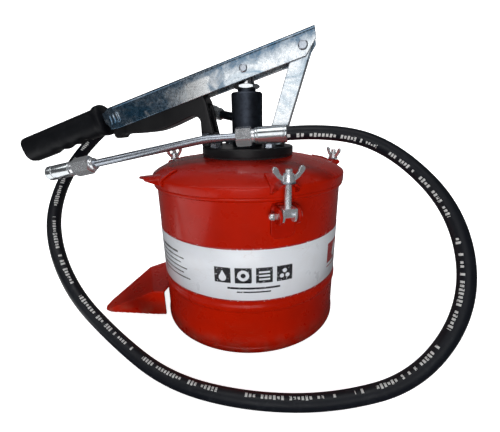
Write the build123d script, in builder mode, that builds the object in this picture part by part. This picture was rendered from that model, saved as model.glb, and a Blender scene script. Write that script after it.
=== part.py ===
"""Hand-lever bucket pump for grease and gear oil, life size.

Millimetres, +Z up. The origin is on the floor, on the axis of the bucket. The lever and the link
move in the XZ plane and the grip points to -X.
"""
from build123d import *
from math import sin, cos, tan, radians, degrees, acos, sqrt
import os

os.makedirs("parts", exist_ok=True)

# bucket and lid
BUCKET_R = 100.0
RIM_Z = 158.0
LABEL_LOW_Z = 57.9
LABEL_TOP_Z = 111.6
SKIRT_R = 103.5
LID_TOP_Z = 181.0
LID_T = 1.7

# foot step
STEP_ANGLE = 31.4
STEP_BASE = (-103.8, -21.5)
STEP_H = 31.0
STEP_T = 2.5

# pump head
FLANGE_R = 49.5
FLANGE_LOW_Z = 182.0
FLANGE_TOP_Z = 191.0
FLANGE_BOLT_XY = 27.9
CYL_R = 16.5
CYL_TOP_Z = 245.0
ROD_R = 8.0
BARREL_R = 15.0
BORE_R = 12.0
HANDLE_BOLT_X = -42.0
HANDLE_BOLT_Y = 16.5

# lever and link
LEVER_PIN = (57.0, 283.0)
ROD_PIN = (0.0, 266.0)
LINK_PIN = (33.0, 200.0)
LEVER_HALF_W = 15.0
LINK_HALF_W = 12.0
CHANNEL_T = 2.5
PIN_R = 4.0
ROD_PIN_R = 3.5
GRIP_ANGLE = 17.1

# clamps, each given by the plan angle of its outward direction
CLAMP_ANGLES = (-61.5, 30.5, 161.0)
TAB_ANGLE = -134.0
CLAMP_R = 111.0
CLAMP_PIN_Z = 143.7
EAR_TOP_Z = 170.0
WASHER_Z = 170.35

# hose and delivery pipe
HOSE_R = 6.7
HOSE_ROUTE = [
    (147, -37, 188), (189, -70, 143), (196, -103, 81), (159, -131, 27),
    (95, -146, 7), (26, -157, 7), (-41, -150, 7), (-102, -128, 20), (-155, -116, 62), (-195, -85, 111),
    (-222, -31, 149), (-224, 25, 189), (-183, 53, 229),
]
OUTLET_START = (0.0, 0.0, 217.3)
OUTLET_DIR = (-0.8775, 0.4471, 0.1736)
OUTLET_LENGTH = 79.0
HOSE_FIRST_RUN = 48.3
HOSE_LAST_RUN = 60.0
PIPE_R = 4.0
DELIVERY_START = (46.0, -35.0, 205.0)
DELIVERY_DIR = (-0.9938, -0.0935, -0.0601)
PIPE_BEND_AT = 80.0
PIPE_DIR = (-0.9772, -0.0842, -0.1947)
COUPLER_AT = 122.5


def export(solid, label):
    solid.label = label
    export_step(solid, f"parts/{label}.step")


def radial_plane(angle, offset=0.0):
    """Plane holding the outward direction and +Z, moved sideways by offset."""
    c = cos(radians(angle))
    s = sin(radians(angle))
    return Plane(origin=(0, 0, 0), x_dir=(c, s, 0), z_dir=(s, -c, 0)).offset(offset)


def facing_plane(angle, radius):
    """Plane facing outwards at a radius, with its own y pointing up."""
    c = cos(radians(angle))
    s = sin(radians(angle))
    return Plane(origin=(radius * c, radius * s, 0), x_dir=(-s, c, 0), z_dir=(c, s, 0))


def side_plane(y):
    """Plane of the mechanism at a given y, with +X to the right and +Z up."""
    return Plane(origin=(0, y, 0), x_dir=(1, 0, 0), z_dir=(0, -1, 0))


def point_along(start, direction, distance):
    return Vector(*start) + Vector(*direction).normalized() * distance


def along(start, direction, distance):
    """Plane across a straight piece, at a distance from its start."""
    return Plane(origin=point_along(start, direction, distance), z_dir=direction)


def clamp_point(angle, sideways, z):
    c = cos(radians(angle))
    s = sin(radians(angle))
    return (CLAMP_R * c + sideways * s, CLAMP_R * s - sideways * c, z)


# ---------------------------------------------------------------- bucket
# sheet bucket with a flat bottom, a foot ring, a stiffening bead and a rolled rim
with BuildPart() as bucket:
    with BuildSketch(Plane.XZ):
        with BuildLine():
            Polyline(
                (0, 0), (101, 0), (101, 4.5), (BUCKET_R, 6), (BUCKET_R, 46),
                (101.2, 48), (101.2, 52), (BUCKET_R, 54), (BUCKET_R, RIM_Z), (98.5, RIM_Z),
                (98.5, 54.4), (99.7, 52.2), (99.7, 47.8), (98.5, 45.6), (98.5, 1.5), (0, 1.5), (0, 0),
            )
        make_face()
    revolve(axis=Axis.Z)
    with BuildSketch(Plane.XZ):
        with Locations((100.6, RIM_Z - 2.4)):
            Circle(2.4)
    revolve(axis=Axis.Z)
export(bucket.part, "bucket")

# printed band around the body
with BuildPart() as label_band:
    with BuildSketch(Plane.XY.offset(LABEL_LOW_Z)):
        Circle(BUCKET_R + 0.25)
        Circle(BUCKET_R, mode=Mode.SUBTRACT)
    extrude(amount=LABEL_TOP_Z - LABEL_LOW_Z)
export(label_band.part, "label_band")

# ---------------------------------------------------------------- foot step
# folded plate the user stands on: flat by the wall, falling to a narrow toe, open underneath
step_out = (-cos(radians(STEP_ANGLE)), -sin(radians(STEP_ANGLE)), 0)
step_top = Plane(origin=(STEP_BASE[0], STEP_BASE[1], 0), x_dir=step_out, z_dir=(0, 0, 1))
step_side = Plane(origin=(STEP_BASE[0], STEP_BASE[1], 0), x_dir=step_out,
                  z_dir=(-sin(radians(STEP_ANGLE)), cos(radians(STEP_ANGLE)), 0))
with BuildPart() as step_space:
    with BuildSketch(step_top):
        with BuildLine():
            Polyline((-44, 42), (0, 37.4), (17, 30.4), (66, 6.6), (69, 0), (66, -6.6), (17, -30.4),
                     (0, -37.4), (-44, -42), (-44, 42))
        make_face()
    extrude(amount=STEP_H - STEP_T)
    with BuildSketch(step_side):
        with BuildLine():
            Polyline((16.8, STEP_H - STEP_T), (90, -12.3), (90, 60), (16.8, 60), (16.8, STEP_H - STEP_T))
        make_face()
    extrude(amount=70, both=True, mode=Mode.SUBTRACT)
with BuildPart() as foot_step:
    with BuildSketch(step_top):
        with BuildLine():
            Polyline((-44, 45), (0, 40), (18, 33), (68, 9), (74, 3), (74, -3), (68, -9), (18, -33),
                     (0, -40), (-44, -45), (-44, 45))
        make_face()
    extrude(amount=STEP_H)
    with BuildSketch(step_side):
        with BuildLine():
            Polyline((18, STEP_H), (74, 3), (90, -5), (90, 60), (18, 60), (18, STEP_H))
        make_face()
    extrude(amount=70, both=True, mode=Mode.SUBTRACT)
    add(step_space.part, mode=Mode.SUBTRACT)
    with BuildSketch(Plane.XY):
        Circle(BUCKET_R)
    extrude(amount=46, mode=Mode.SUBTRACT)
    with BuildSketch(Plane.XY.offset(-1)):
        Circle(101.0)
    extrude(amount=7, mode=Mode.SUBTRACT)
    with BuildSketch(Plane.XY):
        with Locations((60, 0)):
            Rectangle(300, 300)
    extrude(amount=46, mode=Mode.SUBTRACT)
export(foot_step.part, "foot_step")

# ---------------------------------------------------------------- lid
# pressed lid: upright skirt, shallow crown and a flat seat for the pump flange
with BuildPart() as lid:
    with BuildSketch(Plane.XZ):
        with BuildLine():
            Polyline(
                (20, LID_TOP_Z), (52, LID_TOP_Z), (70, 178.6), (86, 174.8), (94, 171.6), (99.5, 168.6),
                (SKIRT_R - 0.6, 166.2), (SKIRT_R, 165.0), (SKIRT_R, 157.4), (102.7, 157.4), (102.7, 159),
                (102.1, 159), (102.1, 160.5), (98, 160.5), (98, 167.4), (93, 170.2), (85.5, 173.2),
                (69.6, 176.9), (52, LID_TOP_Z - LID_T), (20, LID_TOP_Z - LID_T), (20, LID_TOP_Z),
            )
        make_face()
    revolve(axis=Axis.Z)
    with BuildSketch(Plane.XY.offset(170)):
        with GridLocations(2 * FLANGE_BOLT_XY, 2 * FLANGE_BOLT_XY, 2, 2):
            Circle(3.2)
    extrude(amount=15, mode=Mode.SUBTRACT)
export(lid.part, "lid")

with BuildPart() as lid_gasket:
    with BuildSketch(Plane.XY.offset(RIM_Z)):
        Circle(102.0)
        Circle(98.4, mode=Mode.SUBTRACT)
    extrude(amount=2.5)
export(lid_gasket.part, "lid_gasket")

# everything under the outside of the lid and bucket, used to fit the ears to them
with BuildPart() as lid_outside:
    with BuildSketch(Plane.XZ):
        with BuildLine():
            Polyline((0, 140), (100, 140), (103.1, 155), (SKIRT_R, 159), (SKIRT_R, 165.0),
                     (SKIRT_R - 0.6, 166.2), (99.5, 168.6), (94, 171.6), (86, 174.8), (70, 178.6),
                     (52, LID_TOP_Z), (0, LID_TOP_Z), (0, 140))
        make_face()
    revolve(axis=Axis.Z)


def ear(angle, reach, slotted):
    """Folded ear: a plate over the shoulder, and a roof on two gussets that taper outwards."""
    with BuildPart() as piece:
        with BuildSketch(radial_plane(angle)):
            with BuildLine():
                Polyline((88, 168), (88, 175.8), (94.4, 173.3), (100.3, 170.1), (104.4, 167.4), (105.2, 165.8),
                         (105.2, 159.5), (96, 159.5), (96, 168), (88, 168))
            make_face()
        extrude(amount=12.5, both=True)
        with BuildSketch(facing_plane(angle, 96)):
            with Locations((0, EAR_TOP_Z - 15)):
                RectangleRounded(23, 30, 8)
        extrude(amount=reach - 96)
        with BuildSketch(facing_plane(angle, 60)):
            with Locations((0, EAR_TOP_Z - 17)):
                RectangleRounded(19, 30, 6)
        extrude(amount=80, mode=Mode.SUBTRACT)
        with BuildSketch(Plane.XY.offset(140)):
            Circle(130)
        extrude(amount=20.0, mode=Mode.SUBTRACT)
        with BuildSketch(radial_plane(angle)):
            with BuildLine():
                Polyline((103.4, 150), (103.4, 160.4), (reach + 2, EAR_TOP_Z - 2.2), (reach + 2, 150),
                         (103.4, 150))
            make_face()
        extrude(amount=14, both=True, mode=Mode.SUBTRACT)
        add(lid_outside.part, mode=Mode.SUBTRACT)
        if slotted:
            with BuildSketch(facing_plane(angle, 107.2)):
                with Locations((0, EAR_TOP_Z)):
                    Rectangle(7.6, 12)
            extrude(amount=20, mode=Mode.SUBTRACT)
    return piece.part


with BuildPart() as lid_ears:
    for clamp_angle in CLAMP_ANGLES:
        add(ear(clamp_angle, 115.0, True))
export(lid_ears.part, "lid_ears")

with BuildPart() as lid_tab:
    add(ear(TAB_ANGLE, 118.0, False))
export(lid_tab.part, "lid_tab")

# ---------------------------------------------------------------- clamps
with BuildPart() as clamp_lugs:
    for clamp_angle in CLAMP_ANGLES:
        with BuildSketch(facing_plane(clamp_angle, 95)):
            with Locations((0, 136)):
                RectangleRounded(22, 32, 6)
        extrude(amount=7.8)
        for ear_side in (7.0, -9.5):
            with BuildSketch(radial_plane(clamp_angle, ear_side)):
                with Locations((CLAMP_R, CLAMP_PIN_Z)):
                    Circle(7.5)
                with Locations((102.5, CLAMP_PIN_Z)):
                    Rectangle(17, 15)
                with Locations((CLAMP_R, CLAMP_PIN_Z)):
                    Circle(2.5, mode=Mode.SUBTRACT)
            extrude(amount=2.5)
    with BuildSketch(Plane.XY.offset(110)):
        Circle(BUCKET_R)
    extrude(amount=60, mode=Mode.SUBTRACT)
    with BuildSketch(Plane.XY.offset(LABEL_LOW_Z)):
        Circle(BUCKET_R + 0.4)
    extrude(amount=LABEL_TOP_Z - LABEL_LOW_Z, mode=Mode.SUBTRACT)
export(clamp_lugs.part, "clamp_lugs")

with BuildPart() as clamp_pins:
    for clamp_angle in CLAMP_ANGLES:
        pin_end = Vector(*clamp_point(clamp_angle, -12.0, CLAMP_PIN_Z))
        pin_axis = Plane(origin=pin_end, x_dir=(0, 0, 1), z_dir=radial_plane(clamp_angle).z_dir)
        with BuildSketch(Plane(origin=pin_end, x_dir=(0, 0, 1), z_dir=-pin_axis.y_dir)):
            with BuildLine():
                Polyline((0, 0), (3.2, 0), (3.2, 1.6), (2.5, 1.6), (2.5, 23), (3.0, 24), (3.0, 26.2),
                         (2.2, 27.6), (1.0, 28.3), (0, 28.4), (0, 0))
            make_face()
        revolve(axis=Axis(pin_end, pin_axis.z_dir))
export(clamp_pins.part, "clamp_pins")


def swing_bolt(angle):
    """Folded stirrup that turns on the lug pin, with a threaded bolt through its bridge."""
    with BuildPart() as piece:
        with BuildSketch(radial_plane(angle, -6.3)):
            with Locations((CLAMP_R, CLAMP_PIN_Z)):
                Circle(6.0)
            with Locations((CLAMP_R, CLAMP_PIN_Z + 3.35)):
                Rectangle(12, 6.7)
        extrude(amount=12.6)
        with BuildSketch(facing_plane(angle, CLAMP_R - 8)):
            with Locations((0, CLAMP_PIN_Z - 2.8)):
                Rectangle(8.6, 14)
        extrude(amount=16, mode=Mode.SUBTRACT)
        with Locations(clamp_point(angle, 0, 146.4)):
            Cylinder(3.9, 1.7, align=(Align.CENTER, Align.CENTER, Align.MIN))
            Cylinder(3.0, 34.9, align=(Align.CENTER, Align.CENTER, Align.MIN))
        with BuildSketch(radial_plane(angle, -8)):
            with Locations((CLAMP_R, CLAMP_PIN_Z)):
                Circle(2.56)
        extrude(amount=16, mode=Mode.SUBTRACT)
    return piece.part


def clamp_washer(angle):
    with BuildPart() as piece:
        with Locations(clamp_point(angle, 0, WASHER_Z)):
            Cylinder(6.0, 1.0, align=(Align.CENTER, Align.CENTER, Align.MIN))
            Hole(3.2)
    return piece.part


def wing_nut(angle):
    """Tapered hub with two ears that lean outwards."""
    with BuildPart() as piece:
        with Locations(clamp_point(angle, 0, WASHER_Z + 1.05)):
            Cone(5.4, 4.3, 6.4, align=(Align.CENTER, Align.CENTER, Align.MIN))
        for side in (1, -1):
            with BuildSketch(facing_plane(angle, CLAMP_R - 1.1)):
                with BuildLine():
                    Polyline(
                        (3.0 * side, 172.2), (6.2 * side, 172.4), (9.6 * side, 175.0),
                        (13.4 * side, 179.2), (13.9 * side, 181.6), (12.8 * side, 183.4),
                        (10.8 * side, 183.6), (9.0 * side, 181.8), (8.0 * side, 178.6),
                        (5.8 * side, 176.2), (3.0 * side, 176.4), (3.0 * side, 172.2),
                    )
                make_face()
            extrude(amount=2.2)
        with Locations(clamp_point(angle, 0, WASHER_Z)):
            Cylinder(3.05, 16, align=(Align.CENTER, Align.CENTER, Align.MIN), mode=Mode.SUBTRACT)
    return piece.part


for number, clamp_angle in enumerate(CLAMP_ANGLES, start=1):
    export(swing_bolt(clamp_angle), f"swing_bolt_{number}")
    export(clamp_washer(clamp_angle), f"clamp_washer_{number}")
    export(wing_nut(clamp_angle), f"wing_nut_{number}")

# ---------------------------------------------------------------- pump flange
with BuildPart() as flange_gasket:
    with BuildSketch(Plane.XY.offset(LID_TOP_Z)):
        Circle(FLANGE_R - 0.8)
        Circle(20, mode=Mode.SUBTRACT)
        with GridLocations(2 * FLANGE_BOLT_XY, 2 * FLANGE_BOLT_XY, 2, 2):
            Circle(3.2, mode=Mode.SUBTRACT)
    extrude(amount=FLANGE_LOW_Z - LID_TOP_Z)
export(flange_gasket.part, "flange_gasket")

# cast disc with the lug that carries the foot of the link
with BuildPart() as pump_flange:
    with BuildSketch(Plane.XY.offset(FLANGE_LOW_Z)):
        Circle(FLANGE_R)
    extrude(amount=FLANGE_TOP_Z - FLANGE_LOW_Z)
    chamfer(pump_flange.edges().filter_by(GeomType.CIRCLE).sort_by(Axis.Z)[-1], 1.0)
    with BuildSketch(side_plane(9.0)):
        with Locations(LINK_PIN):
            Circle(7.5)
        with Locations((LINK_PIN[0], (LINK_PIN[1] + FLANGE_TOP_Z) / 2 - 1)):
            Rectangle(15, LINK_PIN[1] - FLANGE_TOP_Z + 2)
        with Locations(LINK_PIN):
            Circle(PIN_R, mode=Mode.SUBTRACT)
    extrude(amount=18)
    with BuildSketch(Plane.XY.offset(FLANGE_LOW_Z)):
        Circle(BARREL_R)
        with GridLocations(2 * FLANGE_BOLT_XY, 2 * FLANGE_BOLT_XY, 2, 2):
            Circle(3.2)
        with Locations((HANDLE_BOLT_X, -HANDLE_BOLT_Y), (HANDLE_BOLT_X, HANDLE_BOLT_Y)):
            Circle(2.5)
    extrude(amount=FLANGE_TOP_Z - FLANGE_LOW_Z, mode=Mode.SUBTRACT)
    with BuildSketch(Plane.XY.offset(186)):
        Circle(CYL_R)
    extrude(amount=20, mode=Mode.SUBTRACT)
export(pump_flange.part, "pump_flange")

with BuildPart() as flange_bolts:
    with BuildSketch(Plane.XY.offset(FLANGE_TOP_Z)):
        with GridLocations(2 * FLANGE_BOLT_XY, 2 * FLANGE_BOLT_XY, 2, 2):
            RegularPolygon(5.0, 6, major_radius=False, rotation=20)
    extrude(amount=4)
    with BuildSketch(Plane.XY.offset(172)):
        with GridLocations(2 * FLANGE_BOLT_XY, 2 * FLANGE_BOLT_XY, 2, 2):
            Circle(3.0)
    extrude(amount=19.5)
export(flange_bolts.part, "flange_bolts")

with BuildPart() as flange_nuts:
    with BuildSketch(Plane.XY.offset(LID_TOP_Z - LID_T - 5)):
        with GridLocations(2 * FLANGE_BOLT_XY, 2 * FLANGE_BOLT_XY, 2, 2):
            RegularPolygon(5.0, 6, major_radius=False)
            Circle(3.0, mode=Mode.SUBTRACT)
    extrude(amount=5)
export(flange_nuts.part, "flange_nuts")

# ---------------------------------------------------------------- cylinder and gland
with BuildPart() as pump_cylinder:
    with BuildSketch(Plane.XZ):
        with BuildLine():
            Polyline(
                (BORE_R, 186), (CYL_R, 186), (CYL_R, CYL_TOP_Z - 1.5), (CYL_R - 1.5, CYL_TOP_Z),
                (10.5, CYL_TOP_Z), (10.5, 236), (8.4, 236), (8.4, 233), (BORE_R, 230), (BORE_R, 186),
            )
        make_face()
    revolve(axis=Axis.Z)
    with BuildSketch(along(OUTLET_START, OUTLET_DIR, 8)):
        Circle(4.6)
    extrude(amount=20, mode=Mode.SUBTRACT)
export(pump_cylinder.part, "pump_cylinder")

with BuildPart() as gland_packing:
    with BuildSketch(Plane.XY.offset(236)):
        Circle(10.5)
        Circle(ROD_R + 0.05, mode=Mode.SUBTRACT)
    extrude(amount=4)
export(gland_packing.part, "gland_packing")

with BuildPart() as gland_bush:
    with BuildSketch(Plane.XZ):
        with BuildLine():
            Polyline((ROD_R + 0.06, 240), (10.5, 240), (10.5, CYL_TOP_Z), (9.5, CYL_TOP_Z + 0.5),
                     (9.5, 248), (ROD_R + 0.06, 248), (ROD_R + 0.06, 240))
        make_face()
    revolve(axis=Axis.Z)
export(gland_bush.part, "gland_bush")

with BuildPart() as gland_nut:
    with BuildSketch(Plane.XY.offset(248)):
        RegularPolygon(12.0, 6, major_radius=False, rotation=38)
        Circle(ROD_R + 0.4, mode=Mode.SUBTRACT)
    extrude(amount=4.6)
    with BuildSketch(Plane.XZ):
        with BuildLine():
            Polyline((12.6, 252.6), (14.6, 251.4), (14.6, 254), (12.6, 254), (12.6, 252.6))
        make_face()
    revolve(axis=Axis.Z, mode=Mode.SUBTRACT)
export(gland_nut.part, "gland_nut")

# lower barrel that reaches down into the oil
with BuildPart() as pump_barrel:
    with BuildSketch(Plane.XY.offset(30)):
        Circle(BARREL_R)
        Circle(BORE_R, mode=Mode.SUBTRACT)
    extrude(amount=156)
export(pump_barrel.part, "pump_barrel")

# ---------------------------------------------------------------- suction end
with BuildPart() as foot_valve_seat:
    with BuildSketch(Plane.XZ):
        with BuildLine():
            Polyline((4, 22), (BARREL_R, 22), (BARREL_R, 30), (BORE_R, 30), (BORE_R, 36), (5.5, 36),
                     (4, 34.5), (4, 22))
        make_face()
    revolve(axis=Axis.Z)
export(foot_valve_seat.part, "foot_valve_seat")

BALL_R = 6.0
with BuildPart() as foot_valve_ball:
    with Locations((0, 0, 30.5 + BALL_R * sqrt(2) + 0.01)):
        Sphere(BALL_R)
export(foot_valve_ball.part, "foot_valve_ball")

with BuildPart() as suction_strainer:
    with BuildSketch(Plane.XY.offset(8)):
        Circle(17)
    extrude(amount=22)
    with BuildSketch(Plane.XY.offset(9.2)):
        Circle(BARREL_R)
    extrude(amount=30, mode=Mode.SUBTRACT)
    for slot_angle in range(0, 180, 30):
        with BuildSketch(facing_plane(slot_angle, -25)):
            with Locations((0, 15)):
                SlotOverall(9, 3, rotation=90)
        extrude(amount=50, mode=Mode.SUBTRACT)
export(suction_strainer.part, "suction_strainer")

# ---------------------------------------------------------------- piston and rod
# the eye is slotted so that the lever pin can move a little sideways as the lever swings
EYE_CENTRE = (ROD_PIN[0] - 2.0, ROD_PIN[1] + 0.4)
EYE_STRAIGHT = 4.8
EYE_HEIGHT = 8.0
with BuildPart() as piston_rod:
    with BuildSketch(Plane.XY.offset(92)):
        Circle(ROD_R)
    extrude(amount=ROD_PIN[1] - 5 - 92)
    with BuildSketch(side_plane(9.0)):
        with Locations(EYE_CENTRE):
            SlotCenterToCenter(EYE_STRAIGHT, 14)
    extrude(amount=18)
    with BuildSketch(side_plane(12.0)):
        with Locations(EYE_CENTRE):
            SlotCenterToCenter(EYE_STRAIGHT, EYE_HEIGHT)
    extrude(amount=24, mode=Mode.SUBTRACT)
export(piston_rod.part, "piston_rod")

with BuildPart() as piston:
    with BuildSketch(Plane.XZ):
        with BuildLine():
            Polyline(
                (0, 88), (11.8, 88), (11.8, 90.5), (9.6, 90.5), (9.6, 94), (11.8, 94), (11.8, 98),
                (9.6, 98), (9.6, 101.5), (11.8, 101.5), (11.8, 104), (ROD_R, 104), (ROD_R, 92), (0, 92),
                (0, 88),
            )
        make_face()
    revolve(axis=Axis.Z)
export(piston.part, "piston")

with BuildPart() as piston_seals:
    for seal_z in (90.5, 98.0):
        with BuildSketch(Plane.XY.offset(seal_z)):
            Circle(BORE_R - 0.05)
            Circle(9.6, mode=Mode.SUBTRACT)
        extrude(amount=3.5)
export(piston_seals.part, "piston_seals")

# ---------------------------------------------------------------- lever
# inverted channel; the grip end is pinched into a narrow nose that carries the tang
lever_profile = [
    (66.8, 299.4), (69.0, 288.0), (60.3, 273.6), (-146.4, 210.6), (-156.5, 209.4), (-167.0, 221.6),
    (-166.2, 226.6), (-158.0, 232.7), (66.8, 299.4),
]
with BuildPart() as lever_space:
    with BuildSketch(side_plane(LEVER_HALF_W - CHANNEL_T)):
        with BuildLine():
            Polyline((90, 303.6), (90, 240), (-150, 180), (-150, 232.4), (90, 303.6))
        make_face()
    extrude(amount=2 * (LEVER_HALF_W - CHANNEL_T))
with BuildPart() as lever:
    with BuildSketch(side_plane(LEVER_HALF_W)):
        with BuildLine():
            Polyline(*lever_profile)
        make_face()
    extrude(amount=2 * LEVER_HALF_W)
    web_edges = [e for e in lever.edges().filter_by(GeomType.LINE)
                 if e.length > 200 and e.center().Z > 255]
    fillet(web_edges, 4.0)
    add(lever_space.part, mode=Mode.SUBTRACT)
    # pocket under the nose for the end of the carry handle
    with BuildSketch(side_plane(9.0)):
        with Locations((-156, 200)):
            Rectangle(12.4, 35)
    extrude(amount=18, mode=Mode.SUBTRACT)
    # the nose is pinched from both sides
    for side in (1, -1):
        with BuildSketch(Plane.XY.offset(190)):
            with BuildLine():
                Polyline((-150, 17 * side), (-150, 15 * side), (-168, 9.5 * side), (-175, 9.5 * side),
                         (-175, 17 * side), (-150, 17 * side))
            make_face()
        extrude(amount=60, mode=Mode.SUBTRACT)
    with BuildSketch(side_plane(LEVER_HALF_W + 1)):
        with Locations(LEVER_PIN):
            Circle(PIN_R)
        with Locations(ROD_PIN):
            Circle(ROD_PIN_R)
    extrude(amount=2 * LEVER_HALF_W + 2, mode=Mode.SUBTRACT)
    grip_frame = Plane(origin=(-160, 0, 223.6), x_dir=(0, 1, 0),
                       z_dir=(-cos(radians(GRIP_ANGLE)), 0, -sin(radians(GRIP_ANGLE))))
    with BuildSketch(grip_frame):
        RectangleRounded(12, 14, 3)
    extrude(amount=120)
export(lever.part, "lever")

# ---------------------------------------------------------------- grip
with BuildPart() as grip:
    with BuildSketch(grip_frame.offset(15)):
        RectangleRounded(27, 31, 9)
    extrude(amount=121)
    fillet(grip.faces().sort_by(Axis.X)[0].edges(), 5.0)
    with BuildSketch(grip_frame.offset(9)):
        RectangleRounded(30, 35, 11)
    extrude(amount=7)
    for notch in (48, 68, 88):
        with BuildSketch(Plane(origin=(-160 - notch * cos(radians(GRIP_ANGLE)) + 25.0 * sin(radians(GRIP_ANGLE)),
                                       20, 223.6 - notch * sin(radians(GRIP_ANGLE))
                                       - 25.0 * cos(radians(GRIP_ANGLE))),
                               x_dir=(1, 0, 0), z_dir=(0, -1, 0))):
            Circle(12)
        extrude(amount=40, mode=Mode.SUBTRACT)
    with BuildSketch(grip_frame.offset(5)):
        RectangleRounded(12, 14, 3)
    extrude(amount=115, mode=Mode.SUBTRACT)
export(grip.part, "grip")

# ---------------------------------------------------------------- link
link_lean = degrees(acos((LEVER_PIN[1] - LINK_PIN[1])
                         / sqrt((LEVER_PIN[0] - LINK_PIN[0])**2 + (LEVER_PIN[1] - LINK_PIN[1])**2)))
link_length = sqrt((LEVER_PIN[0] - LINK_PIN[0])**2 + (LEVER_PIN[1] - LINK_PIN[1])**2)


def link_plane(y):
    """Plane of the link at a given y, with its own y along the link."""
    lean = radians(link_lean)
    return Plane(origin=(LINK_PIN[0], y, LINK_PIN[1]), x_dir=(cos(lean), 0, -sin(lean)), z_dir=(0, -1, 0))


with BuildPart() as link:
    with BuildSketch(link_plane(LINK_HALF_W)):
        with Locations((0, link_length / 2)):
            SlotCenterToCenter(link_length, 16.4, rotation=90)
    extrude(amount=2 * LINK_HALF_W)
    with BuildSketch(link_plane(LINK_HALF_W - CHANNEL_T)):
        with Locations((-12.5, link_length / 2)):
            Rectangle(36.4, 140)
    extrude(amount=2 * (LINK_HALF_W - CHANNEL_T), mode=Mode.SUBTRACT)
    for open_low, open_high in ((-12, 13), (link_length - 9, link_length + 12)):
        with BuildSketch(link_plane(LINK_HALF_W - CHANNEL_T)):
            with Locations((0, (open_low + open_high) / 2)):
                Rectangle(30, open_high - open_low)
        extrude(amount=2 * (LINK_HALF_W - CHANNEL_T), mode=Mode.SUBTRACT)
    with BuildSketch(link_plane(LINK_HALF_W + 1)):
        Circle(PIN_R + 0.06)
        with Locations((0, link_length)):
            Circle(PIN_R + 0.06)
    extrude(amount=2 * LINK_HALF_W + 2, mode=Mode.SUBTRACT)
export(link.part, "link")


def headed_pin(centre, radius, wall):
    """Pin across the mechanism: a low head in front of the wall, and room for a ring behind it."""
    with BuildPart() as piece:
        with BuildSketch(side_plane(wall + 2.6)):
            with Locations(centre):
                Circle(radius)
        extrude(amount=2 * wall + 2.9)
        with BuildSketch(side_plane(-wall - 0.3)):
            with Locations(centre):
                Circle(radius + 0.5)
        extrude(amount=1.4)
    return piece.part


def retaining_ring(centre, inner, outer, y):
    with BuildPart() as piece:
        with BuildSketch(side_plane(y)):
            with Locations(centre):
                Circle(outer)
                Circle(inner, mode=Mode.SUBTRACT)
        extrude(amount=1.2)
    return piece.part


export(headed_pin(LEVER_PIN, PIN_R, LEVER_HALF_W), "lever_pin")
export(headed_pin(ROD_PIN, ROD_PIN_R, LEVER_HALF_W), "rod_pin")
export(headed_pin(LINK_PIN, PIN_R, LINK_HALF_W), "link_pin")
with BuildPart() as lever_pin_rings:
    add(retaining_ring(LEVER_PIN, PIN_R, 6.4, 16.6))
    add(retaining_ring(ROD_PIN, ROD_PIN_R, 5.8, 16.6))
export(lever_pin_rings.part, "lever_pin_rings")
with BuildPart() as link_pin_ring:
    add(retaining_ring(LINK_PIN, PIN_R, 6.4, 13.6))
export(link_pin_ring.part, "link_pin_ring")

# ---------------------------------------------------------------- carry handle
# cast handle: bolted foot, channelled post, and an arm that runs under the lever to a lipped end
with BuildPart() as carry_handle:
    with BuildSketch(side_plane(11.5)):
        with BuildLine():
            Polyline((-49, FLANGE_TOP_Z), (-34, FLANGE_TOP_Z), (-34, 201), (-41.5, 237), (-45, 243.6),
                     (-51, 246.4), (-58, 244.2), (-156, 215.0), (-158.4, 211.6), (-157.6, 201.6),
                     (-155, 199.2), (-149.4, 199.2), (-146, 203.2), (-139, 204.3))
            Spline((-139, 204.3), (-120, 204.9), (-101.8, 206.9), (-82, 213.0), (-68, 218.6), (-58.4, 222.3),
                   tangents=((1, 0.02), (1, 0.34)))
            Spline((-58.4, 222.3), (-52.0, 220.8), (-49, 213.5), tangents=((1, 0.34), (0, -1)))
            Line((-49, 213.5), (-49, FLANGE_TOP_Z))
        make_face()
    extrude(amount=23)
    # the lipped end is narrower than the arm
    for side in (1, -1):
        with BuildSketch(Plane.XY.offset(190)):
            with BuildLine():
                Polyline((-138, 11.5 * side), (-145, 8 * side), (-165, 8 * side), (-165, 13 * side),
                         (-138, 13 * side), (-138, 11.5 * side))
            make_face()
        extrude(amount=60, mode=Mode.SUBTRACT)
    # channel in the face of the post that looks at the cylinder
    with BuildSketch(side_plane(7.5)):
        with BuildLine():
            Polyline((-45, 205), (-45, 229), (-43.5, 235), (-25, 235), (-25, 205), (-45, 205))
        make_face()
    extrude(amount=15, mode=Mode.SUBTRACT)
    with BuildSketch(Plane.XY.offset(FLANGE_TOP_Z)):
        with Locations((HANDLE_BOLT_X + 0.5, 0)):
            RectangleRounded(15, 45, 5)
    extrude(amount=10)
    with BuildSketch(Plane.XY.offset(180)):
        Circle(FLANGE_R + 30)
        Circle(FLANGE_R, mode=Mode.SUBTRACT)
    extrude(amount=21.5, mode=Mode.SUBTRACT)
    with BuildSketch(Plane.XY.offset(180)):
        with Locations((HANDLE_BOLT_X, -HANDLE_BOLT_Y), (HANDLE_BOLT_X, HANDLE_BOLT_Y)):
            Circle(2.7)
    extrude(amount=40, mode=Mode.SUBTRACT)
export(carry_handle.part, "carry_handle")

with BuildPart() as handle_bolts:
    with BuildSketch(Plane.XY.offset(FLANGE_TOP_Z + 10)):
        with Locations((HANDLE_BOLT_X, -HANDLE_BOLT_Y), (HANDLE_BOLT_X, HANDLE_BOLT_Y)):
            RegularPolygon(4.0, 6, major_radius=False, rotation=8)
    extrude(amount=3.6)
    with BuildSketch(Plane.XY.offset(183)):
        with Locations((HANDLE_BOLT_X, -HANDLE_BOLT_Y), (HANDLE_BOLT_X, HANDLE_BOLT_Y)):
            Circle(2.5)
    extrude(amount=18.5)
export(handle_bolts.part, "handle_bolts")

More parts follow.
